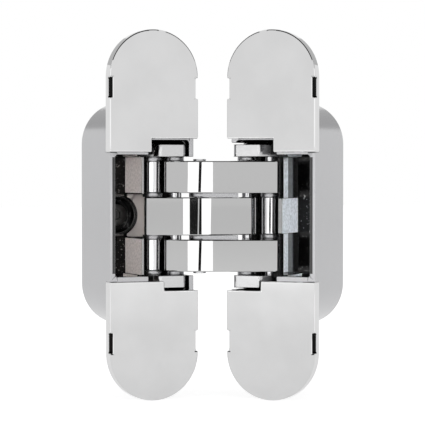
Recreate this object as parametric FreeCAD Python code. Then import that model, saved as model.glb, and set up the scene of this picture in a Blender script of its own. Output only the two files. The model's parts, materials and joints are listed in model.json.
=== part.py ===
import FreeCAD, Part
import math
import os

# Concealed door hinge, all sizes in millimetres.
# x runs from the frame leaf towards the door leaf, y runs into the wood, z is up.
# The origin lies midway between the frame leaf's fixing holes, on the back of its flange.
# Each leaf is drawn with u from its inner edge, v into the wood and its face at v = 0.
# The door leaf is drawn part folded, as in the photograph.

# The two leaves.
cover_width = 28.0
cover_height = 111.0
cover_depth = 4.0
cover_plate = 1.2
cover_skirt = 0.9
cover_gap = 0.1
cut_past = 1.0
tiny = 0.001
top_cover_foot = 18.8
bottom_cover_head = -19.8
top_notch_width = 14.8
top_notch_height = 4.1
bottom_notch_width = 10.8
bottom_notch_height = 2.9
pry_notch_depth = 0.8
pry_notch_back = 1.8
pry_notch_low = 35.0
pry_notch_high = 41.0
peg_radius = 1.5
peg_height = 2.6
peg_from_middle = 35.6
peg_spread = 7.0

flange_height = 109.0
flange_back = 4.4
housing_height = 69.0
housing_depth = 30.0
outer_wall = 0.7
rim_lip = 1.4
rim_lip_gap = 0.1
inner_wall = 1.4
back_wall = 2.0
pocket_half_height = 22.9
pocket_corner = 2.5
mouth_top = 18.1
mouth_bottom = -18.4
mouth_corner = 1.0
lug_mouth_reach = 15.4
rim_cut_depth = 11.2
rim_cut_margin = 0.5

fixing_radius = 2.6
fixing_head_radius = 4.6
fixing_head_depth = 2.4
fixing_low = 40.4
fixing_high = 49.0

# How far the hinge folds.
rest_fold = 136.0
open_fold = 180.0
closed_gap = 4.5
open_gap = 14.1
share_long = 0.625
share_middle = 0.40
left_pivot_u = 4.6
left_pivot_v = 7.5
right_pivot_u = 3.8
right_pivot_v = 6.7
left_slide_u = 10.9
left_slide_v = 10.0
right_slide_u = 9.1
right_slide_v = 12.5

# Rows of arms, measured from the middle of the mechanism.
row_middle = -0.4
middle_arm_height = 11.4
arm_gap = 1.3
long_arm_height = 9.6
lug_gap = 1.3
lug_height = 3.7

# Pins, rollers and washers.
pivot_pin_radius = 1.5
slide_pin_radius = 1.5
centre_pin_radius = 1.6
centre_head_radius = 1.95
centre_head_height = 0.6
run_gap = 0.05
face_gap = 0.05
roller_radius = 2.75
centre_washer_radius = 3.2
pivot_washer_radius = 2.8
slide_washer_radius = 3.05
pin_end_inset = 0.6
slot_side_gap = 0.15
path_steps = 10

# Arm outlines, seen from above.
pivot_eye_radius = 2.9
long_slide_eye_radius = 2.7
middle_slide_eye_radius = 2.6
elbow_forward = 5.3
long_elbow_radius = 17.0
middle_elbow_radius = 14.6
elbow_shift_long = -0.1
elbow_shift_middle = -0.5
long_cheek_out = 3.1
long_cheek_forward = 0.6
long_cheek_radius = 1.2
long_shoulder_out = 2.7
long_shoulder_forward = 3.9
long_shoulder_radius = 1.4
long_inner_shoulder_in = 3.2
long_inner_shoulder_forward = 0.3
long_waist_x = 7.0
long_waist_forward = 0.9
boss_back = 3.9
boss_side = 2.2
middle_shoulder_out = 2.3
middle_shoulder_forward = 1.7
middle_shoulder_radius = 1.2
middle_inner_shoulder_in = 2.1
middle_inner_shoulder_back = 1.3
middle_waist_x = 6.0
middle_waist_back = 0.9
middle_boss_right = 3.0
waist_radius = 2.5
inner_radius = 1.5
spacer_reach = 11.6
spacer_back = 0.4
spacer_front = 3.0

# Carriers.
carrier_front = 2.0
carrier_inner_u = 2.9
carrier_outer_u = 16.2
carrier_web_front = 25.0
carrier_web_outer_u = 25.8
raised_floor_inner_u = 14.9
raised_floor_front = 22.0
left_lug_outer_u = 12.0
left_lug_side_depth = 5.5
left_flank_depth = 9.5
right_lug_inner_u = 1.1
right_lug_outer_u = 9.5
right_lug_back = 10.4
right_flank_u = 13.4
right_flank_depth = 6.2
lug_corner = 1.2
divider_inner_u = 14.7
divider_outer_u = 15.5
divider_front = 7.0
bite_radius = 7.4
bite_u = 18.2
ring_outer_radius = 6.5
ring_inner_radius = 5.3
ring_front = 21.2
strip_inner_u = 9.4
strip_outer_u = 10.6
strip_front = 20.8
pad_inner_u = 13.6
pad_outer_u = 14.9
pad_front = 7.9
pad_half_height = 5.4

# Screws.
pressure_head_radius = 3.4
pressure_head_front = 22.6
pressure_shank_radius = 2.5
socket_across = 3.0
socket_depth = 1.6
clamp_u = 6.9
clamp_head_radius = 3.0
clamp_head_depth = 1.2
clamp_shank_radius = 1.8
adjuster_z = 28.6
adjuster_u = 14.0
adjuster_head_radius = 3.6
adjuster_head_front = 1.6
adjuster_head_height = 2.6
adjuster_shank_radius = 2.5
adjuster_end = 20.0

out_folder = "parts"


def vec(x, y, z=0.0):
    return FreeCAD.Vector(x, y, z)


up = vec(0, 0, 1)
inward = vec(0, 1, 0)


def turned(point, degrees):
    angle = math.radians(degrees)
    cosine = math.cos(angle)
    sine = math.sin(angle)
    return vec(point.x * cosine - point.y * sine, point.x * sine + point.y * cosine, point.z)


# The folding geometry.
# The long arms take a fixed share of the fold, and so does the middle arm. Their lengths follow
# from where the two pivots stand when the hinge is shut and when it is flat open.
def solve_arms():
    pivot = complex(-left_pivot_u, left_pivot_v)
    shut = complex(-right_pivot_u, -closed_gap - right_pivot_v) - pivot
    flat = complex(open_gap + right_pivot_u, right_pivot_v) - pivot
    long_turn = math.radians(open_fold * share_long)
    middle_turn = math.radians(open_fold * share_middle)
    long_unit = complex(math.cos(long_turn), math.sin(long_turn))
    middle_unit = complex(math.cos(middle_turn), math.sin(middle_turn))
    long_reach = (flat - shut * middle_unit) / (long_unit - middle_unit)
    middle_reach = shut - long_reach
    return long_reach, middle_reach


long_reach, middle_reach = solve_arms()
left_pivot = vec(-left_pivot_u, left_pivot_v)


def centre_at(fold):
    reach = turned(vec(long_reach.real, long_reach.imag), fold * share_long)
    return left_pivot + reach


def right_pivot_at(fold):
    reach = turned(vec(middle_reach.real, middle_reach.imag), fold * share_middle)
    return centre_at(fold) + reach


def door_point(fold, u, v):
    local = turned(vec(u - right_pivot_u, v - right_pivot_v), fold - open_fold)
    return right_pivot_at(fold) + local


def door_local(fold, point):
    local = turned(point - right_pivot_at(fold), open_fold - fold)
    return vec(local.x + right_pivot_u, local.y + right_pivot_v)


centre = centre_at(rest_fold)
right_pivot = right_pivot_at(rest_fold)
left_slide = vec(-left_slide_u, left_slide_v)
right_slide = door_point(rest_fold, right_slide_u, right_slide_v)
arm_turn = (rest_fold - open_fold) / 2.0

# heights of the rows
middle_low = row_middle - middle_arm_height / 2.0
middle_high = row_middle + middle_arm_height / 2.0
upper_low = middle_high + arm_gap
upper_high = upper_low + long_arm_height
lower_high = middle_low - arm_gap
lower_low = lower_high - long_arm_height
top_lug_low = upper_high + lug_gap
top_lug_high = top_lug_low + lug_height
bottom_lug_high = lower_low - lug_gap
bottom_lug_low = bottom_lug_high - lug_height


# Plain solids.
def post(point, radius, low, high):
    return Part.makeCylinder(radius, high - low, vec(point.x, point.y, low), up)


def bore(u, z, radius, front, back):
    return Part.makeCylinder(radius, back - front, vec(u, front, z), inward)


def block(u_low, u_high, v_low, v_high, z_low, z_high):
    return Part.makeBox(u_high - u_low, v_high - v_low, z_high - z_low, vec(u_low, v_low, z_low))


def rounded_block(u_low, u_high, v_low, v_high, z_low, z_high, radius):
    solid = block(u_low, u_high, v_low, v_high, z_low, z_high)
    edges = []
    for edge in solid.Edges:
        first = edge.Vertexes[0].Point
        last = edge.Vertexes[-1].Point
        if abs(first.y - last.y) > (v_high - v_low) / 2.0:
            edges.append(edge)
    return solid.makeFillet(radius, edges)


def stadium(u_low, u_high, z_low, z_high, v_low, v_high):
    radius = (u_high - u_low) / 2.0
    middle = u_low + radius
    top = z_high - radius
    foot = z_low + radius
    right_side = Part.makeLine(vec(u_high, v_low, foot), vec(u_high, v_low, top))
    head = Part.Arc(vec(u_high, v_low, top), vec(middle, v_low, z_high), vec(u_low, v_low, top))
    left_side = Part.makeLine(vec(u_low, v_low, top), vec(u_low, v_low, foot))
    base = Part.Arc(vec(u_low, v_low, foot), vec(middle, v_low, z_low), vec(u_high, v_low, foot))
    outline = Part.Wire([right_side, head.toShape(), left_side, base.toShape()])
    return Part.Face(outline).extrude(vec(0, v_high - v_low, 0))


def rounded_corner(before, corner, after, radius):
    back = (before - corner).normalize()
    ahead = (after - corner).normalize()
    half = back.getAngle(ahead) / 2.0
    tangent = radius / math.tan(half)
    middle = (back + ahead).normalize()
    near = radius / math.sin(half) - radius
    start = corner + back * tangent
    deep = corner + middle * near
    end = corner + ahead * tangent
    return start, deep, end


def plan_prism(corners, low, high):
    # corners is a list of (point, radius), in order round the outline
    count = len(corners)
    arcs = []
    for index in range(count):
        point, radius = corners[index]
        if radius <= 0:
            arcs.append((point, point, point))
            continue
        before = corners[index - 1][0]
        after = corners[(index + 1) % count][0]
        arcs.append(rounded_corner(before, point, after, radius))
    edges = []
    for index in range(count):
        start, deep, end = arcs[index]
        if corners[index][1] > 0:
            edges.append(Part.Arc(start, deep, end).toShape())
        following = arcs[(index + 1) % count][0]
        if (following - end).Length > tiny * tiny:
            edges.append(Part.makeLine(end, following))
    outline = Part.Wire(Part.__sortEdges__(edges))
    solid = Part.Face(outline).extrude(vec(0, 0, high - low))
    solid.translate(vec(0, 0, low))
    return solid


def tangent_point(outside, middle, radius, toward):
    # of the two tangents from a point to a round, the one that lies further toward a direction
    reach = middle - outside
    distance = reach.Length
    lean = math.degrees(math.asin(radius / distance))
    run = math.sqrt(distance * distance - radius * radius)
    straight = vec(reach.x / distance, reach.y / distance)
    one = outside + turned(straight, lean) * run
    other = outside + turned(straight, -lean) * run
    if one.dot(toward) > other.dot(toward):
        return one
    return other


def hex_socket(u, z, across, front, back):
    reach = across / math.sqrt(3.0)
    corners = []
    for step in range(6):
        angle = math.radians(60 * step + 30)
        corners.append(vec(u + reach * math.cos(angle), front, z + reach * math.sin(angle)))
    corners.append(corners[0])
    return Part.Face(Part.makePolygon(corners)).extrude(vec(0, back - front, 0))


def track(points, radius, low, high):
    # the room that a round pin sweeps when it runs along the points
    shapes = []
    for point in points:
        shapes.append(post(point, radius, low, high))
    for first, last in zip(points[:-1], points[1:]):
        along = last - first
        if along.Length < tiny:
            continue
        side = turned(along.normalize(), 90) * radius
        ring = [first + side, last + side, last - side, first - side, first + side]
        strip = Part.Face(Part.makePolygon(ring)).extrude(vec(0, 0, high - low))
        strip.translate(vec(0, 0, low))
        shapes.append(strip)
    swept = shapes[0].fuse(shapes[1:])
    return swept.removeSplitter()


# Where the slide pins run, each in its own leaf.
def folds():
    return [open_fold * step / path_steps for step in range(path_steps + 1)]


def left_slide_path():
    path = []
    for fold in folds():
        reach = turned(left_slide - centre, share_middle * (fold - rest_fold))
        point = centre_at(fold) + reach
        path.append(vec(-point.x, point.y))
    return path


def right_slide_path():
    path = []
    for fold in folds():
        reach = turned(right_slide - centre, share_long * (fold - rest_fold))
        path.append(door_local(fold, centre_at(fold) + reach))
    return path


# Leaf castings, drawn with u away from the inner edge.
def make_housing(lug_inner_u, cut_low, cut_high):
    edge = cover_skirt + cover_gap
    far = cover_width - edge
    half = flange_height / 2.0
    body = stadium(edge, far, -half, half, cover_plate, flange_back)
    deep = stadium(edge, far, -housing_height / 2.0, housing_height / 2.0, flange_back, housing_depth)
    lip = block(far - rim_lip, cover_width, rim_lip_gap, flange_back,
                bottom_cover_head + rim_lip_gap, top_cover_foot - rim_lip_gap)
    body = body.fuse([deep, lip])
    body = body.removeSplitter()
    pocket_u = edge + inner_wall
    pocket_far = far - outer_wall
    pocket_back = housing_depth - back_wall
    low = row_middle - pocket_half_height
    high = row_middle + pocket_half_height
    pocket = rounded_block(pocket_u, pocket_far, flange_back, pocket_back, low, high, pocket_corner)
    mouth = rounded_block(pocket_u, pocket_far, 0.0, flange_back, mouth_bottom, mouth_top, mouth_corner)
    lug_mouth = rounded_block(pocket_u, lug_mouth_reach, 0.0, flange_back, low, high, mouth_corner)
    rim_cut = block(lug_inner_u, pocket_u + edge, 0.0, rim_cut_depth, cut_low, cut_high)
    body = body.cut([pocket, mouth, lug_mouth, rim_cut])
    middle = cover_width / 2.0
    holes = []
    for side in (-1, 1):
        for height in (fixing_low, fixing_high):
            holes.append(bore(middle, side * height, fixing_radius, 0.0, flange_back))
            sink = Part.makeCone(fixing_head_radius, fixing_radius, fixing_head_depth,
                                 vec(middle, cover_plate, side * height), inward)
            holes.append(sink)
        for u in (middle - peg_spread, middle + peg_spread):
            holes.append(bore(u, side * peg_from_middle, peg_radius, 0.0, flange_back))
        holes.append(bore(adjuster_u, side * adjuster_z, adjuster_head_radius + run_gap, 0.0,
                          adjuster_head_front + adjuster_head_height))
        holes.append(bore(adjuster_u, side * adjuster_z, adjuster_shank_radius + run_gap, 0.0,
                          adjuster_end))
    return body.cut(holes)


def make_cover(side, foot, notch_width, notch_height):
    # side is 1 for the cover above the pocket and -1 for the one below it
    half = cover_height / 2.0
    shell = stadium(0.0, cover_width, -half, half, 0.0, cover_depth)
    wall = cover_skirt
    room = stadium(wall, cover_width - wall, -half + wall, half - wall, cover_plate, cover_depth)
    shell = shell.cut(room)
    far = cover_width + cut_past
    deep = cover_depth + cut_past
    if side > 0:
        away = block(-cut_past, far, -cut_past, deep, -half - cut_past, foot)
        notch = block(-cut_past, notch_width, -cut_past, deep, foot - cut_past, foot + notch_height)
    else:
        away = block(-cut_past, far, -cut_past, deep, foot, half + cut_past)
        notch = block(-cut_past, notch_width, -cut_past, deep, foot - notch_height, foot + cut_past)
    shell = shell.cut([away, notch])
    cuts = []
    low = min(side * pry_notch_low, side * pry_notch_high)
    high = max(side * pry_notch_low, side * pry_notch_high)
    for u_low, u_high in ((-cut_past, pry_notch_depth), (cover_width - pry_notch_depth, far)):
        cuts.append(block(u_low, u_high, -cut_past, pry_notch_back, low, high))
    shell = shell.cut(cuts)
    pegs = []
    middle = cover_width / 2.0
    for u in (middle - peg_spread, middle + peg_spread):
        pegs.append(bore(u, side * peg_from_middle, peg_radius, cover_plate, cover_plate + peg_height))
    return shell.fuse(pegs).removeSplitter()


def lug_outline_left():
    return [
        (vec(carrier_inner_u, carrier_front), lug_corner),
        (vec(left_lug_outer_u, carrier_front), lug_corner),
        (vec(left_lug_outer_u, left_lug_side_depth), lug_corner),
        (vec(carrier_outer_u, left_flank_depth), lug_corner),
        (vec(carrier_outer_u, carrier_web_front), 0.0),
        (vec(carrier_inner_u, carrier_web_front), 0.0),
    ]


def lug_outline_right():
    return [
        (vec(right_lug_inner_u, carrier_front), lug_corner),
        (vec(right_lug_outer_u, carrier_front), lug_corner),
        (vec(right_flank_u, right_flank_depth), lug_corner),
        (vec(carrier_outer_u, left_flank_depth), lug_corner),
        (vec(carrier_outer_u, carrier_web_front), 0.0),
        (vec(carrier_inner_u, carrier_web_front), 0.0),
        (vec(carrier_inner_u, right_lug_back + lug_corner), 0.0),
        (vec(right_lug_inner_u, right_lug_back), 0.0),
    ]


def make_carrier_frame(outline, pivot_u, pivot_v, path):
    back = housing_depth - back_wall
    web = block(carrier_inner_u, carrier_web_outer_u, carrier_web_front, back,
                bottom_lug_low, top_lug_high)
    raised = block(raised_floor_inner_u, carrier_web_outer_u, raised_floor_front, carrier_web_front,
                   bottom_lug_low, top_lug_high)
    top = plan_prism(outline, top_lug_low, top_lug_high)
    foot = plan_prism(outline, bottom_lug_low, bottom_lug_high)
    frame = web.fuse([raised, top, foot]).removeSplitter()
    pin = post(vec(pivot_u, pivot_v), pivot_pin_radius, bottom_lug_low, top_lug_high)
    slot = track(path, slide_pin_radius + slot_side_gap, bottom_lug_low, top_lug_high)
    return frame.cut([pin, slot])


def make_left_carrier():
    frame = make_carrier_frame(lug_outline_left(), left_pivot_u, left_pivot_v, left_slide_path())
    divider = block(divider_inner_u, divider_outer_u, divider_front, carrier_web_front,
                    bottom_lug_high, top_lug_low)
    bite = bore(bite_u, row_middle, bite_radius, 0.0, carrier_web_front)
    divider = divider.cut(bite)
    ring = bore(bite_u, row_middle, ring_outer_radius, ring_front, carrier_web_front)
    frame = frame.fuse([divider, ring]).removeSplitter()
    well = bore(bite_u, row_middle, ring_inner_radius, 0.0, carrier_web_front + cover_plate)
    shank = bore(bite_u, row_middle, pressure_shank_radius + run_gap, 0.0, housing_depth)
    return frame.cut([well, shank])


def make_right_carrier():
    frame = make_carrier_frame(lug_outline_right(), right_pivot_u, right_pivot_v, right_slide_path())
    strip = block(strip_inner_u, strip_outer_u, strip_front, carrier_web_front,
                  bottom_lug_high, top_lug_low)
    pad = block(pad_inner_u, pad_outer_u, pad_front, carrier_web_front,
                row_middle - pad_half_height, row_middle + pad_half_height)
    frame = frame.fuse([strip, pad]).removeSplitter()
    head = bore(clamp_u, row_middle, clamp_head_radius + run_gap, strip_front,
                carrier_web_front + clamp_head_depth)
    shank = bore(clamp_u, row_middle, clamp_shank_radius + run_gap, carrier_web_front, housing_depth)
    return frame.cut([head, shank])


# Arms.
def arm_frame(point):
    # the point as seen from the centre pin, in the direction the photograph looks
    return turned(point - centre, -arm_turn)


def arm_corner(x, y):
    return centre + turned(vec(x, y), arm_turn)


def eye_arc(middle, radius, start, through, end):
    out = (through - middle).normalize() * radius
    return Part.Arc(start, middle + out, end).toShape()


def arm_prism(pivot, slide, pivot_radius, slide_radius, front, back, low, high, cheeked):
    # front runs from the pivot side to the slide side and back runs home again
    ahead = turned(vec(0, -1), arm_turn)
    outward = slide - pivot
    pivot_side = outward * -1.0 if cheeked else ahead
    pivot_front = tangent_point(front[0][0], pivot, pivot_radius, pivot_side)
    slide_out = tangent_point(front[-1][0], slide, slide_radius, outward)
    slide_in = tangent_point(back[0][0], slide, slide_radius, outward * -1.0)
    pivot_back = tangent_point(back[-1][0], pivot, pivot_radius, ahead * -1.0)
    edges = []
    for ends, corners in (((pivot_front, slide_out), front), ((slide_in, pivot_back), back)):
        points = [ends[0]] + [corner[0] for corner in corners] + [ends[1]]
        start = points[0]
        for index, corner in enumerate(corners):
            first, deep, last = rounded_corner(points[index], corner[0], points[index + 2], corner[1])
            edges.append(Part.makeLine(start, first))
            edges.append(Part.Arc(first, deep, last).toShape())
            start = last
        edges.append(Part.makeLine(start, points[-1]))
    inner_slide = (front[-1][0] + back[0][0]) / 2.0
    inner_pivot = (front[0][0] + back[-1][0]) / 2.0
    edges.append(eye_arc(slide, slide_radius, slide_out, slide * 2.0 - inner_slide, slide_in))
    edges.append(eye_arc(pivot, pivot_radius, pivot_back, pivot * 2.0 - inner_pivot, pivot_front))
    outline = Part.Wire(Part.__sortEdges__(edges))
    solid = Part.Face(outline).extrude(vec(0, 0, high - low))
    solid.translate(vec(0, 0, low))
    return solid


def make_long_arm(low, high):
    slide = arm_frame(right_slide)
    cheek = arm_frame(left_pivot).x - long_cheek_out
    front = [
        (arm_corner(cheek, -long_cheek_forward), long_cheek_radius),
        (arm_corner(elbow_shift_long, -elbow_forward), long_elbow_radius),
        (arm_corner(slide.x + long_shoulder_out, -long_shoulder_forward), long_shoulder_radius),
    ]
    back = [
        (arm_corner(slide.x - long_inner_shoulder_in, -long_inner_shoulder_forward), inner_radius),
        (arm_corner(long_waist_x, -long_waist_forward), waist_radius),
        (arm_corner(boss_side, boss_back), waist_radius),
    ]
    arm = arm_prism(left_pivot, right_slide, pivot_eye_radius, long_slide_eye_radius,
                    front, back, low, high, True)
    holes = [
        post(left_pivot, pivot_pin_radius + run_gap, low, high),
        post(centre, centre_pin_radius, low, high),
        post(right_slide, slide_pin_radius, low, high),
    ]
    return arm.cut(holes)


def make_middle_arm():
    slide = arm_frame(left_slide)
    front = [
        (arm_corner(elbow_shift_middle, -elbow_forward), middle_elbow_radius),
        (arm_corner(slide.x - middle_shoulder_out, -middle_shoulder_forward), middle_shoulder_radius),
    ]
    back = [
        (arm_corner(slide.x + middle_inner_shoulder_in, middle_inner_shoulder_back), inner_radius),
        (arm_corner(-middle_waist_x, middle_waist_back), waist_radius),
        (arm_corner(-boss_side, boss_back), inner_radius),
        (arm_corner(middle_boss_right, boss_back), waist_radius),
    ]
    arm = arm_prism(right_pivot, left_slide, pivot_eye_radius, middle_slide_eye_radius,
                    front, back, middle_low, middle_high, False)
    holes = [
        post(right_pivot, pivot_pin_radius + run_gap, middle_low, middle_high),
        post(centre, centre_pin_radius + run_gap, middle_low, middle_high),
        post(left_slide, slide_pin_radius, middle_low, middle_high),
    ]
    return arm.cut(holes)


# Pins, rollers and washers.
def ring(point, outer, inner, low, high):
    return post(point, outer, low, high).cut(post(point, inner, low, high))


def make_centre_pin():
    shank = post(centre, centre_pin_radius, lower_low, upper_high)
    head = post(centre, centre_head_radius, upper_high, upper_high + centre_head_height)
    foot = post(centre, centre_head_radius, lower_low - centre_head_height, lower_low)
    return shank.fuse([head, foot]).removeSplitter()


def make_slide_pin(point):
    return post(point, slide_pin_radius, bottom_lug_low + pin_end_inset, top_lug_high - pin_end_inset)


def make_pivot_pin(point):
    return post(point, pivot_pin_radius, bottom_lug_low, top_lug_high)


def make_centre_washer(low, high):
    plate = [
        (arm_corner(0, -spacer_front), 0.0),
        (arm_corner(spacer_reach, -spacer_front), 0.0),
        (arm_corner(spacer_reach, -spacer_back), 0.0),
        (arm_corner(0, -spacer_back), 0.0),
    ]
    tongue = plan_prism(plate, low, high)
    disc = post(centre, centre_washer_radius, low, high)
    disc = disc.fuse(tongue).removeSplitter()
    return disc.cut(post(centre, centre_pin_radius, low, high))


# Screws.
def make_screw(u, z, head_radius, head_front, head_back, shank_radius, end):
    head = bore(u, z, head_radius, head_front, head_back)
    shank = bore(u, z, shank_radius, head_back, end)
    screw = head.fuse(shank).removeSplitter()
    return screw.cut(hex_socket(u, z, socket_across, head_front, head_front + socket_depth))


def make_adjuster(side):
    return make_screw(adjuster_u, side * adjuster_z, adjuster_head_radius, adjuster_head_front,
                      adjuster_head_front + adjuster_head_height, adjuster_shank_radius, adjuster_end)


# Placing.
def to_left(shape):
    return shape.mirror(vec(0, 0), vec(1, 0))


def to_right(shape):
    placed = shape.copy()
    placed.rotate(vec(right_pivot_u, right_pivot_v), up, rest_fold - open_fold)
    placed.translate(right_pivot - vec(right_pivot_u, right_pivot_v))
    return placed


def save(name, shape):
    placed = shape.copy()
    placed.translate(vec(cover_width / 2.0, -flange_back))
    placed.exportStep(os.path.join(out_folder, name + ".step"))
    print(name, len(placed.Solids), round(placed.Volume, 1), placed.isValid())


os.makedirs("parts", exist_ok=True)

left_cut_low = bottom_lug_high
left_cut_high = top_lug_low
right_cut_low = bottom_lug_low - rim_cut_margin
right_cut_high = top_lug_high + rim_cut_margin
left_housing = make_housing(0.0, left_cut_low, left_cut_high)
pressure_hole = bore(bite_u, row_middle, pressure_shank_radius + run_gap, 0.0, housing_depth)
left_housing = left_housing.cut(pressure_hole)
right_housing = make_housing(0.0, right_cut_low, right_cut_high)
clamp_hole = bore(clamp_u, row_middle, clamp_shank_radius, 0.0, housing_depth)
right_housing = right_housing.cut(clamp_hole)

top_cover = make_cover(1, top_cover_foot, top_notch_width, top_notch_height)
bottom_cover = make_cover(-1, bottom_cover_head, bottom_notch_width, bottom_notch_height)
upper_adjuster = make_adjuster(1)
lower_adjuster = make_adjuster(-1)

save("left_housing", to_left(left_housing))
save("left_top_cover", to_left(top_cover))
save("left_bottom_cover", to_left(bottom_cover))
save("left_carrier", to_left(make_left_carrier()))
save("left_upper_adjusting_screw", to_left(upper_adjuster))
save("left_lower_adjusting_screw", to_left(lower_adjuster))
pressure_well = carrier_web_front + cover_plate - face_gap
pressure_screw = make_screw(bite_u, row_middle, pressure_head_radius, pressure_head_front,
                            pressure_well, pressure_shank_radius, housing_depth)
save("left_pressure_screw", to_left(pressure_screw))

save("right_housing", to_right(right_housing))
save("right_top_cover", to_right(top_cover))
save("right_bottom_cover", to_right(bottom_cover))
save("right_carrier", to_right(make_right_carrier()))
save("right_upper_adjusting_screw", to_right(upper_adjuster))
save("right_lower_adjusting_screw", to_right(lower_adjuster))
clamp_screw = make_screw(clamp_u, row_middle, clamp_head_radius, carrier_web_front - run_gap,
                         carrier_web_front + clamp_head_depth, clamp_shank_radius, housing_depth)
save("right_clamp_screw", to_right(clamp_screw))

save("upper_arm", make_long_arm(upper_low, upper_high))
save("middle_arm", make_middle_arm())
save("lower_arm", make_long_arm(lower_low, lower_high))
save("centre_pin", make_centre_pin())
save("upper_centre_washer", make_centre_washer(middle_high + face_gap, upper_low))
save("lower_centre_washer", make_centre_washer(lower_high, middle_low - face_gap))
save("left_pivot_pin", make_pivot_pin(left_pivot))
save("right_pivot_pin", make_pivot_pin(right_pivot))
save("left_slide_pin", make_slide_pin(left_slide))
save("right_slide_pin", make_slide_pin(right_slide))

roller_bore = slide_pin_radius + run_gap
rollers = (
    ("left_upper_roller", left_slide, upper_low, upper_high),
    ("left_lower_roller", left_slide, lower_low, lower_high),
    ("right_roller", right_slide, middle_low, middle_high),
)
for name, point, low, high in rollers:
    save(name, ring(point, roller_radius, roller_bore, low + run_gap, high - run_gap))


for side, pivot in (("left", left_pivot), ("right", right_pivot)):
    upper = ring(pivot, pivot_washer_radius, pivot_pin_radius, upper_high + run_gap, top_lug_low)
    lower = ring(pivot, pivot_washer_radius, pivot_pin_radius, bottom_lug_high, lower_low - run_gap)
    save(side + "_upper_pivot_washer", upper)
    save(side + "_lower_pivot_washer", lower)

slide_washers = (
    ("left_top_slide_washer", left_slide, upper_high, top_lug_low - run_gap),
    ("left_upper_slide_washer", left_slide, middle_high, upper_low),
    ("left_lower_slide_washer", left_slide, lower_high, middle_low),
    ("left_bottom_slide_washer", left_slide, bottom_lug_high + run_gap, lower_low),
    ("right_upper_slide_washer", right_slide, middle_high, upper_low),
    ("right_lower_slide_washer", right_slide, lower_high, middle_low),
)
for name, point, low, high in slide_washers:
    save(name, ring(point, slide_washer_radius, slide_pin_radius, low, high))

print("left pivot", left_pivot)
print("centre", centre)
print("right pivot", right_pivot)
print("left slide", left_slide)
print("right slide", right_slide)
print("door corner", door_point(rest_fold, 0, 0))
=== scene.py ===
# %% [markdown]
# # A concealed door hinge
# The hinge has two cast leaves that sink into the edge of a door and its frame. Two long arms and
# one middle arm cross between them and fold into open pockets. We load its solids first, note
# their size, and then give every piece its finish, its soft edges and its light.

# %% Load the solids
import json
import math

import bpy
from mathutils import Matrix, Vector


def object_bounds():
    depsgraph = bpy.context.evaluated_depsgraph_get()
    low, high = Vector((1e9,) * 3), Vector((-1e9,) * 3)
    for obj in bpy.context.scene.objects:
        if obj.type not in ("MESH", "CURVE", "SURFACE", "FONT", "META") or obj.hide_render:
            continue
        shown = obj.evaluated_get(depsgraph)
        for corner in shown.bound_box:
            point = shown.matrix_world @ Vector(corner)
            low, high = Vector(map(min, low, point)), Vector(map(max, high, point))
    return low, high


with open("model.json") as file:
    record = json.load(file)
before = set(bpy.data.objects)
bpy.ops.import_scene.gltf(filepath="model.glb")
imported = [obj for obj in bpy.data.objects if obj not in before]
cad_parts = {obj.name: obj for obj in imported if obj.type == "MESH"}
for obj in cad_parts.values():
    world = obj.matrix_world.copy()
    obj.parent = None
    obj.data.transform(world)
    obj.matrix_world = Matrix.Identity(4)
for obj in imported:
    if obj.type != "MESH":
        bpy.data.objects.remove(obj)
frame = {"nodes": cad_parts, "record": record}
low_before, high_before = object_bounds()
nodes = frame["nodes"]
MM = 0.001
UP = (0.0, 0.0, 1.0)
print("solids", len(nodes), "box", tuple(low_before), tuple(high_before))

# %% [markdown]
# ## Which way the leaves face
# The frame leaf lies square to the axes, and the door leaf is part folded. The record's fixing
# mounts point along the door leaf's depth, so we take the fold from there. Each leaf then gets
# three plain measures: how far across it, how deep into it, and how high a point lies.

# %% Directions of the two leaves
mounts = {mount["name"]: mount for mount in frame["record"]["mounts"]}
door_hole = mounts["door_fixing_1"]["pos_m"]
door_depth = tuple(mounts["door_fixing_1"]["axis"])
door_across = (door_depth[1], -door_depth[0], 0.0)


def dot(a, b):
    return sum(p * q for p, q in zip(a, b))


# A leaf's measures: the way across, the way in, and what to add to each, in metres.
frame_leaf = {"across": (-1.0, 0.0, 0.0), "across_add": 14.0 * MM,
              "deep": (0.0, 1.0, 0.0), "deep_add": 4.4 * MM}
door_leaf = {"across": door_across, "across_add": 14.0 * MM - dot(door_across, door_hole),
             "deep": door_depth, "deep_add": 4.0 * MM - dot(door_depth, door_hole)}
print("door leaf depth runs along", door_depth, "and it widens along", door_across)

# %% [markdown]
# ## A plated metal
# Chrome is a full metal: almost all that we see is what it mirrors, dimmed a little by its own
# grey. A slight unevenness in how sharp the mirror is keeps the big flat faces from looking like
# glass. We drive the roughness from a soft noise and leave the other values on the shader.

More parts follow.
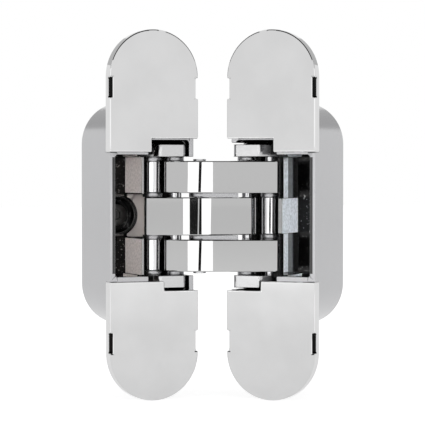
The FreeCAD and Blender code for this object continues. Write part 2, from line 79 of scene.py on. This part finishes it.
# %% Make a plated metal
def plated(name, colour, roughness, spread=0.04, grain=60.0, ripple=0.0, ripple_size=200.0):
    finish = bpy.data.materials.new(name)
    finish.use_nodes = True
    tree = finish.node_tree
    shader = tree.nodes["Principled BSDF"]
    shader.inputs["Base Color"].default_value = (*colour, 1.0)
    shader.inputs["Metallic"].default_value = 1.0
    place = tree.nodes.new("ShaderNodeTexCoord")
    noise = tree.nodes.new("ShaderNodeTexNoise")
    noise.inputs["Scale"].default_value = grain
    noise.inputs["Detail"].default_value = 3.0
    spread_map = tree.nodes.new("ShaderNodeMapRange")
    spread_map.name = "roughness"
    spread_map.inputs["To Min"].default_value = roughness
    spread_map.inputs["To Max"].default_value = roughness + spread
    tree.links.new(place.outputs["Object"], noise.inputs["Vector"])
    tree.links.new(noise.outputs["Fac"], spread_map.inputs["Value"])
    tree.links.new(spread_map.outputs["Result"], shader.inputs["Roughness"])
    if ripple > 0.0:
        waves = tree.nodes.new("ShaderNodeTexNoise")
        waves.inputs["Scale"].default_value = ripple_size
        waves.inputs["Detail"].default_value = 2.0
        bump = tree.nodes.new("ShaderNodeBump")
        bump.inputs["Strength"].default_value = ripple
        bump.inputs["Distance"].default_value = 0.0002
        tree.links.new(place.outputs["Object"], waves.inputs["Vector"])
        tree.links.new(waves.outputs["Fac"], bump.inputs["Height"])
        tree.links.new(bump.outputs["Normal"], shader.inputs["Normal"])
    print("metal", name, "colour", colour, "roughness", roughness)
    return finish


# %% [markdown]
# ## Painted shade in the pockets
# The inside of each leaf is painted much darker than its outside, as painted shade down a narrow
# pocket. We measure a point across, into and up the leaf,
# turn each measure into a soft step, and multiply the steps: the result is one inside the pocket
# and nought outside it. The measures lie in the piece's own space, so they move with the leaf.
# The small notches where a cover is pried off get painted shade in the same way.

# %% Steps and masks
def linked(tree, kind, *sources, **settings):
    node = tree.nodes.new(kind)
    for key, value in settings.items():
        setattr(node, key, value)
    for socket, source in zip(node.inputs, sources):
        if isinstance(source, bpy.types.NodeSocket):
            tree.links.new(source, socket)
        elif source is not None:
            socket.default_value = source
    return node


def measure(tree, source, direction, add):
    along = linked(tree, "ShaderNodeVectorMath", source, direction, operation="DOT_PRODUCT")
    return linked(tree, "ShaderNodeMath", along.outputs["Value"], add, operation="ADD").outputs[0]


# One from "end" on and nought before "start", in the value's own unit.
def step(tree, value, start, end):
    ramp = linked(tree, "ShaderNodeMapRange", value, start, end, interpolation_type="SMOOTHSTEP")
    return ramp.outputs["Result"]


def both(tree, *values):
    result = values[0]
    for value in values[1:]:
        result = linked(tree, "ShaderNodeMath", result, value, operation="MULTIPLY").outputs[0]
    return result


# One between two soft borders in millimetres: the first rises and the second falls.
def within(tree, value, rise, fall):
    return both(tree, step(tree, value, rise[0] * MM, rise[1] * MM),
                step(tree, value, fall[0] * MM, fall[1] * MM))


# Across the leaf, into it, up from its middle, and how far from its middle up or down.
def leaf_measures(tree, leaf):
    place = tree.nodes.new("ShaderNodeTexCoord").outputs["Object"]
    across = measure(tree, place, leaf["across"], leaf["across_add"])
    deep = measure(tree, place, leaf["deep"], leaf["deep_add"])
    level = measure(tree, place, UP, 0.0)
    height = linked(tree, "ShaderNodeMath", level, operation="ABSOLUTE").outputs["Value"]
    return across, deep, level, height


# %% [markdown]
# ## Colours that vary
# A mask chooses between two colours. Each new layer starts from whatever colour the finish has
# so far, be it a plain one or the last layer. A soft noise can also be the mask: it makes the
# covers a little cloudy, as real chrome is.

# %% Mix and mottle colours
def mix_colour(tree, factor, near, far):
    mixer = tree.nodes.new("ShaderNodeMix")
    mixer.data_type = "RGBA"
    tree.links.new(factor, mixer.inputs["Factor"])
    for name, source in (("A", near), ("B", far)):
        socket = [s for s in mixer.inputs if s.name == name and s.type == "RGBA"][0]
        if isinstance(source, bpy.types.NodeSocket):
            tree.links.new(source, socket)
        else:
            socket.default_value = (*source, 1.0)
    return [s for s in mixer.outputs if s.type == "RGBA"][0]


def base_colour(finish):
    socket = finish.node_tree.nodes["Principled BSDF"].inputs["Base Color"]
    return socket.links[0].from_socket if socket.links else tuple(socket.default_value)[:3]


def noise_between(tree, size, low, high, detail=3.0):
    place = tree.nodes.new("ShaderNodeTexCoord")
    noise = tree.nodes.new("ShaderNodeTexNoise")
    noise.inputs["Scale"].default_value = size
    noise.inputs["Detail"].default_value = detail
    tree.links.new(place.outputs["Object"], noise.inputs["Vector"])
    return step(tree, noise.outputs["Fac"], low, high)


def mottle(finish, size, strength):
    tree = finish.node_tree
    bright = base_colour(finish)
    cloud = noise_between(tree, size, 0.3, 0.7)
    dim = tuple(value * (1.0 - strength) for value in bright)
    clear = tuple(value * (1.0 + strength) for value in bright)
    tree.links.new(mix_colour(tree, cloud, dim, clear),
                   tree.nodes["Principled BSDF"].inputs["Base Color"])
    print(finish.name, "is cloudy by", strength)
    return finish


# %% [markdown]
# ## The castings
# The housing is bright outside and painted dark inside its pocket, as painted shade. The carrier
# has bright lugs at the front, a floor painted dark as shade, small painted glints as highlights
# deep in its pocket, and side faces that keep the grain of the casting: those are matte and
# lighter. A side face is found by the direction it looks in, again in the piece's own space. The
# frame leaf's carrier also shows raw casting on its floor, beside the ring around the screw. The
# inside of that ring is painted black as shade, and so is the thin lip of each housing beside its
# covers.

# %% Castings with painted pocket shade
# Painted highlights: the grey of the light speckles painted into the dark pocket as glints.
PAINTED_GLINT = (0.30, 0.30, 0.30)
RING_ACROSS = 18.2 * MM
WORN_DARK, WORN_LIGHT, RAW_DARK = 0.84, 1.14, 0.42


# Paints shade: the inside of the leaf's pocket is painted dark, as painted shade.
def paint_pocket_shade(finish, leaf, dark):
    tree = finish.node_tree
    shader = tree.nodes["Principled BSDF"]
    bright = base_colour(finish)
    across, deep, level, height = leaf_measures(tree, leaf)
    inside = both(tree, within(tree, across, (1.9, 2.3), (25.9, 25.3)),
                  within(tree, level, (-23.7, -23.4), (22.9, 22.6)),
                  within(tree, deep, (1.5, 4.5), (29.0, 28.5)))
    # Painted shade on the thin lip beside the covers, where the open pocket looks dark.
    lip = both(tree, within(tree, across, (26.4, 26.5), (27.35, 27.15)),
               step(tree, height, 17.4 * MM, 17.2 * MM), step(tree, deep, 0.8 * MM, 0.6 * MM))
    inside = linked(tree, "ShaderNodeMath", inside, lip, operation="MAXIMUM").outputs["Value"]
    tree.links.new(mix_colour(tree, inside, bright, dark), shader.inputs["Base Color"])
    print(finish.name, "is dark inside its pocket")
    return finish


# Paints shade: the small pry notches of a cover are painted dark, as painted shade in a recess.
def paint_notch_shade(finish, leaf, dark):
    tree = finish.node_tree
    shader = tree.nodes["Principled BSDF"]
    bright = base_colour(finish)
    across, deep, _, height = leaf_measures(tree, leaf)
    inside = both(tree, within(tree, across, (27.1, 27.18), (27.8, 27.7)),
                  within(tree, height, (34.9, 35.1), (41.1, 40.9)),
                  step(tree, deep, 2.0 * MM, 1.85 * MM))
    tree.links.new(mix_colour(tree, inside, bright, dark), shader.inputs["Base Color"])
    print(finish.name, "is dark inside its pry notches")
    return finish


# How far a point lies from the screw's axis, around which the ring stands.
def ring_radius(tree, across, level):
    beside = linked(tree, "ShaderNodeMath", across, -RING_ACROSS, operation="ADD").outputs["Value"]
    squares = [linked(tree, "ShaderNodeMath", value, value, operation="MULTIPLY").outputs["Value"]
               for value in (beside, level)]
    square = linked(tree, "ShaderNodeMath", *squares, operation="ADD").outputs["Value"]
    return linked(tree, "ShaderNodeMath", square, operation="SQRT").outputs["Value"]


# Gives the side faces a matte grained finish, and paints shade and glints into the pocket.
def matte_sides_and_painted_shade(finish, leaf, dark, floor, side, side_roughness, raw_floor, side_from):
    tree = finish.node_tree
    shader = tree.nodes["Principled BSDF"]
    bright = base_colour(finish)
    across, deep, level, height = leaf_measures(tree, leaf)
    texture = tree.nodes.new("ShaderNodeTexCoord")
    facing = measure(tree, texture.outputs["Normal"], leaf["across"], 0.0)
    in_deep = step(tree, deep, 5.5 * MM, 8.0 * MM)
    on_side = both(tree, in_deep, step(tree, facing, 0.85, 0.95),
                   step(tree, across, (side_from - 0.3) * MM, side_from * MM))
    radius = ring_radius(tree, across, level)
    on_raw = both(tree, step(tree, deep, 20.4 * MM, 20.7 * MM),
                  step(tree, height, 7.4 * MM, 7.0 * MM),
                  within(tree, across, (6.8, 7.2), (14.6, 14.3)),
                  step(tree, radius, 6.6 * MM, 6.9 * MM), raw_floor)
    # Painted shade: the inside of the ring around the screw takes the dark floor colour.
    ring_shade_mask = both(tree, step(tree, deep, 12.0 * MM, 12.3 * MM),
                   step(tree, radius, 5.4 * MM, 5.2 * MM), raw_floor)
    # Painted shade: deep in the pocket the colour turns to the dark one, and on the floor to the
    # floor one.
    base = mix_colour(tree, in_deep, bright, dark)
    floor_shade_mask = both(tree, step(tree, deep, 21.5 * MM, 21.8 * MM),
                    step(tree, across, 14.6 * MM, 14.9 * MM))
    base = mix_colour(tree, floor_shade_mask, base, floor)
    base = mix_colour(tree, ring_shade_mask, base, floor)
    # Painted highlights: glints speckled over the deep pocket.
    painted_glints = both(tree, in_deep, noise_between(tree, 1500.0, 0.60, 0.70, 5.0))
    base = mix_colour(tree, painted_glints, base, PAINTED_GLINT)
    worn = mix_colour(tree, noise_between(tree, 1300.0, 0.35, 0.65, 5.0),
                      tuple(value * WORN_DARK for value in side),
                      tuple(value * WORN_LIGHT for value in side))
    base = mix_colour(tree, on_raw, base, tuple(value * RAW_DARK for value in side))
    tree.links.new(mix_colour(tree, on_side, base, worn), shader.inputs["Base Color"])
    matte = linked(tree, "ShaderNodeMath", on_side, on_raw, operation="MAXIMUM").outputs["Value"]
    rougher = tree.nodes.new("ShaderNodeMix")
    tree.links.new(matte, rougher.inputs["Factor"])
    tree.links.new(tree.nodes["roughness"].outputs["Result"], rougher.inputs["A"])
    rougher.inputs["B"].default_value = side_roughness
    tree.links.new(rougher.outputs["Result"], shader.inputs["Roughness"])
    raw = linked(tree, "ShaderNodeMath", matte, -0.95, 1.0, operation="MULTIPLY_ADD")
    tree.links.new(raw.outputs["Value"], shader.inputs["Metallic"])
    print(finish.name, "has matte side faces")
    return finish


# %% [markdown]
# ## The finishes on this hinge
# The covers and arms are bright chrome. The castings are plated straight over the raw casting,
# so they are greyer and a touch softer. The pins and rollers are ground and polished steel, and
# the socket screws are dark.

# %% The finishes
cover_grey = (0.66, 0.66, 0.662)
# The next three greys are painted shade: the pry notches, the housing pockets and the carrier
# floors.
notch_shade_grey = (0.03, 0.03, 0.03)
pocket_shade_grey = (0.06, 0.06, 0.06)
floor_shade_grey = (0.02, 0.02, 0.02)
frame_cover = paint_notch_shade(mottle(plated("frame leaf cover", cover_grey, 0.03, 0.02),
                                    70.0, 0.03), frame_leaf, notch_shade_grey)
door_cover = paint_notch_shade(mottle(plated("door leaf cover", cover_grey, 0.03, 0.02),
                                   70.0, 0.03), door_leaf, notch_shade_grey)
bright_arm = plated("bright arm", (0.495, 0.495, 0.495), 0.02, 0.01)
steel_pin = plated("steel pin", (0.62, 0.62, 0.63), 0.08)
polished_roller = plated("polished roller", (0.72, 0.72, 0.73), 0.04, 0.02)
grey_washer = plated("grey washer", (0.40, 0.40, 0.41), 0.22)
screw_steel = plated("screw steel", (0.10, 0.098, 0.095), 0.28)
housing_grey = (0.445, 0.445, 0.455)
lug_grey = (0.57, 0.57, 0.575)
frame_housing = paint_pocket_shade(plated("frame leaf housing", housing_grey, 0.16, 0.05, ripple=0.08),
                              frame_leaf, pocket_shade_grey)
door_housing = paint_pocket_shade(plated("door leaf housing", housing_grey, 0.16, 0.05, ripple=0.08),
                             door_leaf, pocket_shade_grey)
# Each carrier's dark and floor colours are painted shade deep in its pocket.
frame_carrier = matte_sides_and_painted_shade(plated("frame leaf carrier", lug_grey, 0.12, 0.05, ripple=0.10),
                            frame_leaf, (0.16, 0.158, 0.155), floor_shade_grey,
                            (0.50, 0.455, 0.44), 0.8, 1.0, 15.3)
door_carrier = matte_sides_and_painted_shade(plated("door leaf carrier", lug_grey, 0.12, 0.05, ripple=0.10),
                           door_leaf, (0.25, 0.25, 0.25), floor_shade_grey,
                           (0.80, 0.84, 0.90), 0.8, 0.0, 0.0)

finishes = {
    "bright_arm": bright_arm,
    "steel_pin": steel_pin,
    "polished_roller": polished_roller,
    "grey_washer": grey_washer,
    "screw_steel": screw_steel,
}
own_finishes = {
    "left_top_cover": frame_cover,
    "left_bottom_cover": frame_cover,
    "right_top_cover": door_cover,
    "right_bottom_cover": door_cover,
    "left_housing": frame_housing,
    "right_housing": door_housing,
    "left_carrier": frame_carrier,
    "right_carrier": door_carrier,
}

# %% [markdown]
# ## Smooth where it curves, crisp where it turns
# A round pin should shade as one smooth surface, and a flat cover should stay flat right up to
# its edge. A small node tree looks at how much each mesh edge turns and marks the ones that turn
# by more than fifty degrees as crisp. It works on the finished mesh, after the edges are rounded.
# The covers and arms get a stricter limit, because their fronts mirror the cards in calm tones
# and straight bands, which a leaning edge would break up.

# %% A node tree that marks crisp edges
def crisp_edges_tree(name, limit):
    tree = bpy.data.node_groups.new(name, "GeometryNodeTree")
    tree.interface.new_socket("Geometry", in_out="INPUT", socket_type="NodeSocketGeometry")
    tree.interface.new_socket("Geometry", in_out="OUTPUT", socket_type="NodeSocketGeometry")
    entry = tree.nodes.new("NodeGroupInput")
    leave = tree.nodes.new("NodeGroupOutput")
    turn = tree.nodes.new("GeometryNodeInputMeshEdgeAngle")
    below = tree.nodes.new("FunctionNodeCompare")
    below.operation = "LESS_THAN"
    below.inputs["B"].default_value = math.radians(limit)
    faces = tree.nodes.new("GeometryNodeSetShadeSmooth")
    edges = tree.nodes.new("GeometryNodeSetShadeSmooth")
    edges.domain = "EDGE"
    tree.links.new(turn.outputs["Unsigned Angle"], below.inputs["A"])
    tree.links.new(entry.outputs["Geometry"], faces.inputs["Geometry"])
    tree.links.new(faces.outputs["Geometry"], edges.inputs["Geometry"])
    tree.links.new(below.outputs["Result"], edges.inputs["Shade Smooth"])
    tree.links.new(edges.outputs["Geometry"], leave.inputs["Geometry"])
    return tree


crisp_edges = crisp_edges_tree("crisp edges", 50.0)
crisp_flats = crisp_edges_tree("crisp flats", 20.0)
flat_kinds = ("bright_arm", "bright_cover")
print("crisp edges tree has", len(crisp_edges.nodes), "nodes")

# %% [markdown]
# ## Soft edges
# No real edge is perfectly sharp: each one catches a thin bright line. The solids come with
# exact edges, so we weld their meshes and round only the edges that turn by more than thirty
# degrees. The width is chosen for each kind of piece, and the big faces keep their own shading.

# %% Round the edges of a piece
def soften(piece, width, crisp_tree, segments=2):
    weld = piece.modifiers.new("weld", "WELD")
    weld.merge_threshold = 0.000002
    round_edges = piece.modifiers.new("soft edges", "BEVEL")
    round_edges.width = width * MM
    round_edges.segments = segments
    round_edges.limit_method = "ANGLE"
    round_edges.angle_limit = math.radians(30.0)
    round_edges.use_clamp_overlap = False
    round_edges.face_strength_mode = "FSTR_ALL"
    crisp = piece.modifiers.new("crisp edges", "NODES")
    crisp.node_group = crisp_tree
    even = piece.modifiers.new("even shading", "WEIGHTED_NORMAL")
    even.keep_sharp = True
    even.weight = 100
    even.use_face_influence = True
    return piece


# %% [markdown]
# ## Finish every piece
# The record names a finish for each node. We hand each solid its material and its edge width in
# one loop, because the same two steps hold for all of them.

# %% Hand out finishes and edges
edge_widths = {
    "cast_housing": 0.2,
    "cast_carrier": 0.2,
    "bright_cover": 0.4,
    "bright_arm": 0.3,
    "steel_pin": 0.12,
    "polished_roller": 0.25,
    "grey_washer": 0.1,
    "screw_steel": 0.12,
}
for part in frame["record"]["subparts"]:
    piece = nodes[part["node"]]
    kind = part["material_slot"]
    finish = own_finishes.get(part["node"]) or finishes[kind]
    if not piece.material_slots:
        piece.data.materials.append(None)
    for place in piece.material_slots:
        place.material = finish
    soften(piece, edge_widths[kind], crisp_flats if kind in flat_kinds else crisp_edges)

# %% [markdown]
# ## Floor and backdrop
# The hinge stands on a plain white floor in front of white. The world is white to the eye and to
# the metal. The floor is white too, and adds a little of its own light to what the eye sees, so
# it runs into the backdrop while it still keeps the soft shadow.

# %% Floor and world
bpy.ops.mesh.primitive_plane_add(size=6.0, location=(0.018, 0.0, low_before[2]))
floor = bpy.context.object
floor.name = "floor"
floor_paint = bpy.data.materials.new("floor paint")
floor_paint.use_nodes = True
tree = floor_paint.node_tree
shader = tree.nodes["Principled BSDF"]
shader.inputs["Base Color"].default_value = (0.5, 0.5, 0.5, 1.0)
shader.inputs["Roughness"].default_value = 0.9
shader.inputs["Specular IOR Level"].default_value = 0.0
rays = tree.nodes.new("ShaderNodeLightPath")
mirrored = linked(tree, "ShaderNodeMath", rays.outputs["Is Glossy Ray"], 0.64, operation="MULTIPLY")
lift = linked(tree, "ShaderNodeMath", rays.outputs["Is Camera Ray"], 0.78, mirrored.outputs[0],
              operation="MULTIPLY_ADD")
tree.links.new(lift.outputs["Value"], shader.inputs["Emission Strength"])
shader.inputs["Emission Color"].default_value = (1.0, 1.0, 1.0, 1.0)
floor.data.materials.append(floor_paint)

world = bpy.data.worlds.new("studio")
bpy.context.scene.world = world
world.use_nodes = True
tree = world.node_tree
sky = tree.nodes["Background"]
sky.inputs["Color"].default_value = (1.0, 1.0, 1.0, 1.0)
rays = tree.nodes.new("ShaderNodeLightPath")
seen = linked(tree, "ShaderNodeMath", rays.outputs["Is Camera Ray"],
              rays.outputs["Is Glossy Ray"], operation="MAXIMUM")
seen = linked(tree, "ShaderNodeMath", seen.outputs["Value"],
              rays.outputs["Is Transmission Ray"], operation="MAXIMUM")
level = tree.nodes.new("ShaderNodeMapRange")
level.inputs["To Min"].default_value = 0.6
level.inputs["To Max"].default_value = 1.0
tree.links.new(seen.outputs["Value"], level.inputs["Value"])
tree.links.new(level.outputs["Result"], sky.inputs["Strength"])
print("floor at", low_before[2])

# %% [markdown]
# ## Where the camera stands
# The camera looks level at the hinge from twenty two degrees to its left, the middle of the
# part folded pair. It stands six tenths of a metre away with a long lens, as for small goods.

# %% Camera
aim = (0.01803, -0.00603, 0.0007)
away = 0.585
camera_turn = math.radians(-22.0)
camera_data = bpy.data.cameras.new("camera")
camera = bpy.data.objects.new("camera", camera_data)
bpy.context.collection.objects.link(camera)
ahead_x = math.sin(camera_turn)
ahead_y = -math.cos(camera_turn)
camera.location = (aim[0] + away * ahead_x, aim[1] + away * ahead_y, 0.013)
tilt = math.atan2(camera.location[2] - aim[2], away)
camera.rotation_euler = (math.pi / 2.0 - tilt, 0.0, camera_turn)
camera_data.lens = 3.377 * 575.0 / 425.0 * 36.0
camera_data.clip_start = 0.01
bpy.context.scene.camera = camera
print("camera", tuple(camera.location), "lens", camera_data.lens)

# %% [markdown]
# ## Cards around the hinge
# Chrome has no look of its own, so a photographer builds one around it. Plain cards stand around
# the camera: each gives the metal one calm tone to mirror. Cards are placed by their bearing
# from the camera's line, and the camera itself doesn't see them. One lies flat on the floor,
# because that is where the lower edges look.

# %% Place a card
def card_paint(sheet, tone):
    paint = bpy.data.materials.new(sheet.name + " tone")
    paint.use_nodes = True
    glow = paint.node_tree.nodes["Principled BSDF"]
    glow.inputs["Base Color"].default_value = (0.0, 0.0, 0.0, 1.0)
    glow.inputs["Specular IOR Level"].default_value = 0.0
    glow.inputs["Emission Color"].default_value = (1.0, 1.0, 1.0, 1.0)
    glow.inputs["Emission Strength"].default_value = tone
    sheet.data.materials.append(paint)
    sheet.visible_camera = False
    sheet.visible_shadow = False
    return sheet


def card(name, start, end, tone, low=-0.6, high=0.6, reach=0.62):
    bpy.ops.mesh.primitive_plane_add(size=1.0)
    sheet = bpy.context.object
    sheet.name = name
    half = math.radians(end - start) / 2.0
    angle = camera_turn + math.radians(start + end) / 2.0
    far = reach * math.cos(half)
    sheet.location = (aim[0] + far * math.sin(angle), aim[1] - far * math.cos(angle),
                      (low + high) / 2.0)
    sheet.rotation_euler = (math.pi / 2.0, 0.0, angle)
    sheet.scale = (2.0 * reach * math.sin(half), high - low, 1.0)
    return card_paint(sheet, tone)


def floor_card(name, start, end, near, far, tone):
    corners = []
    for bearing, reach in ((start, near), (end, near), (end, far), (start, far)):
        angle = camera_turn + math.radians(bearing)
        corners.append((aim[0] + reach * math.sin(angle), aim[1] - reach * math.cos(angle),
                        low_before[2] + 0.3 * MM))
    outline = bpy.data.meshes.new(name)
    outline.from_pydata(corners, [], [(0, 1, 2, 3)])
    sheet = bpy.data.objects.new(name, outline)
    bpy.context.collection.objects.link(sheet)
    sheet.visible_diffuse = False
    return card_paint(sheet, tone)


# %% [markdown]
# ## Lamps
# Two large soft lamps stand to either side and one hangs above. They are wide and weak, so that
# they give the floor its soft shadow and don't burn out the plated faces.

# %% Place a lamp
def soft_lamp(name, bearing, rise, size, power, reach=1.2):
    lamp_data = bpy.data.lights.new(name, "AREA")
    lamp_data.shape = "SQUARE"
    lamp_data.size = size
    lamp_data.energy = power
    lamp = bpy.data.objects.new(name, lamp_data)
    bpy.context.collection.objects.link(lamp)
    angle = camera_turn + math.radians(bearing)
    climb = math.radians(rise)
    lamp.location = (aim[0] + reach * math.sin(angle) * math.cos(climb),
                     aim[1] - reach * math.cos(angle) * math.cos(climb),
                     aim[2] + reach * math.sin(climb))
    lamp.rotation_euler = (math.pi / 2.0 - climb, 0.0, angle)
    lamp.visible_camera = False
    lamp.visible_glossy = False
    return lamp


# %% [markdown]
# ## The studio
# The cards stand in three rows, because the upper, middle and lower arms mirror different heights.
# Each row runs from white over a dark line to white again: that gives the arms their bands. The
# last lamp is small and aims into the pockets from the camera, and is kept off the floor.

# %% The ring of cards and the lamps
top_rows = {"low": -0.001, "high": 0.0197}
low_rows = {"low": -0.0492, "high": -0.028}
middle_row = {"low": -0.027, "high": -0.002}
for name, rows in (("upper", top_rows), ("lower", low_rows)):
    card(name + " outer white", -46.5, -23.2, 2.2, **rows)
    card(name + " dark line", -23.0, -17.5, 0.02, **rows)
    card(name + " inner white", -17.3, 6.3, 2.2, **rows)
card("middle outer white", -24.8, -9.3, 2.2, **middle_row)
card("middle dark band", -9.0, 10.3, 0.02, **middle_row)
card("middle dark line", 13.7, 19.5, 0.02, **middle_row)
card("middle inner white", 19.8, 43.0, 2.2, **middle_row)
card("edge white", -33.0, 33.0, 1.4, low=0.027, high=0.16)
card("high dark", -60.0, 60.0, 0.02, low=0.17, high=0.5)
card("left dark side", -112.0, -62.0, 0.12)
card("right dark side", 62.0, 112.0, 0.12)
card("left high grey", -165.0, -113.0, 0.6, low=0.15, high=1.2)
card("right high grey", 113.0, 165.0, 0.6, low=0.15, high=1.2)
floor_card("floor white", -25.0, 25.0, 0.15, 0.56, 1.4)
soft_lamp("left lamp", -70.0, 40.0, 0.8, 1.4)
soft_lamp("right lamp", 65.0, 40.0, 0.8, 1.4)
soft_lamp("top lamp", 10.0, 75.0, 0.8, 3.0)
not_lit = bpy.data.collections.new("not lit by the fill")
not_lit.objects.link(floor)
fill = soft_lamp("pocket fill", 0.0, 3.0, 0.25, 0.36)
fill.data.spread = math.radians(14.0)
fill.light_linking.receiver_collection = not_lit
not_lit.collection_objects[0].light_linking.link_state = "EXCLUDE"
bpy.context.scene.view_settings.view_transform = "Standard"
